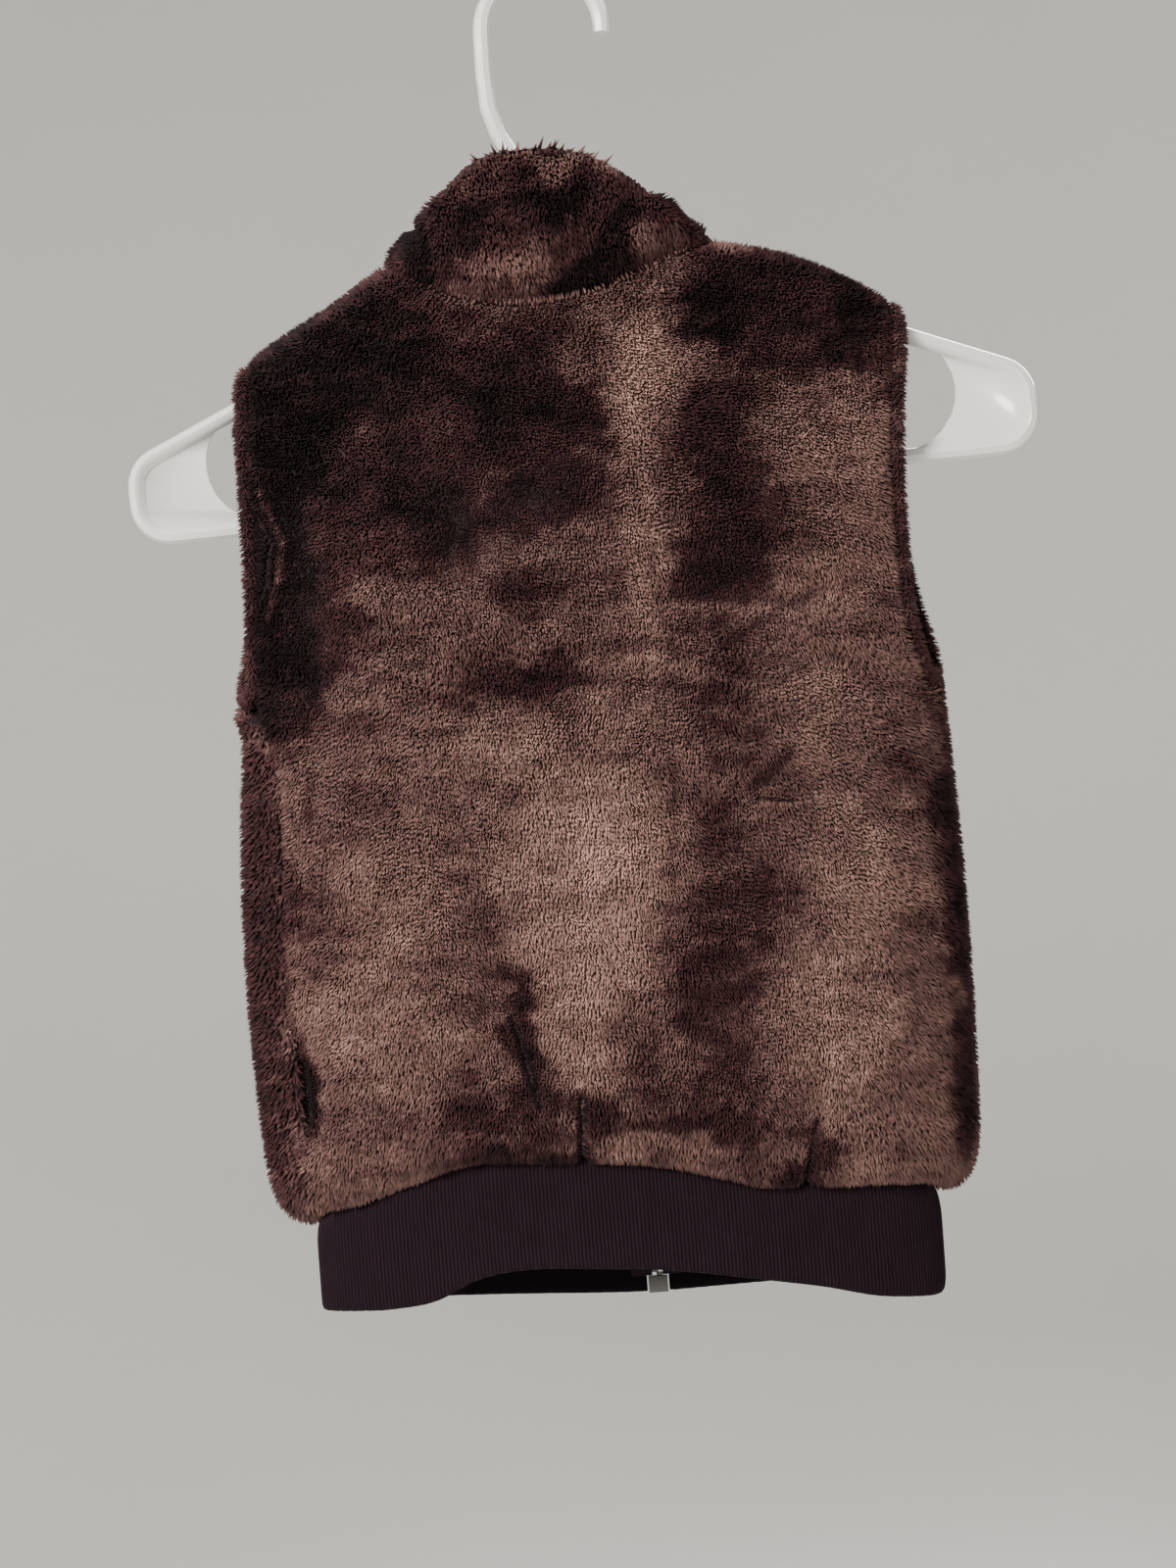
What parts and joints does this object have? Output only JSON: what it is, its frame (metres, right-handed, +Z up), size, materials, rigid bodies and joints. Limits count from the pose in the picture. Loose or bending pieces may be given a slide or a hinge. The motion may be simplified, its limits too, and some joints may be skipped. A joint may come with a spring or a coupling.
{
  "type": "faux fur vest on a plastic clothes hanger",
  "caption": "Child's sleeveless faux fur vest with a stand-up collar, ribbed hem band and front zip, hanging on a plastic hanger",
  "frame": {"origin": "inside top of the hanger's hook, where a rod carries it", "axes": "+Z up along the garment's height, +X to the wearer's right, +Y out of the front of the vest"},
  "size_m": [0.4181, 0.094, 0.6206],
  "materials": {
    "fur": "dense plum-brown pile fabric with a soft sheen along the nap",
    "rib_knit": "dark aubergine fine rib knit, matt",
    "zip_tape": "dark woven tape, matt",
    "zip_metal": "nickel-coloured metal, slightly worn",
    "hanger_plastic": "glossy moulded white plastic"
  },
  "bodies": {
    "root": {"back": "fur", "front_left": "fur", "front_right": "fur", "collar": "fur", "armhole_trim_left": "fur", "armhole_trim_right": "fur", "hem_band": "rib_knit", "zip_tape_left": "zip_tape", "zip_tape_right": "zip_tape", "zip_chain": "zip_metal", "zip_slider": "zip_metal", "zip_box": "zip_metal", "hanger": "hanger_plastic"},
    "zip_pull": {"zip_pull": "zip_metal"}
  },
  "joints": [
    {"name": "zip_pull_hinge", "type": "hinge", "parent": "root", "child": "zip_pull", "pos_m": [-0.00171, 0.03069, -0.1644], "axis": [1, 0, 0], "range_deg": [0, 150]}
  ]
}
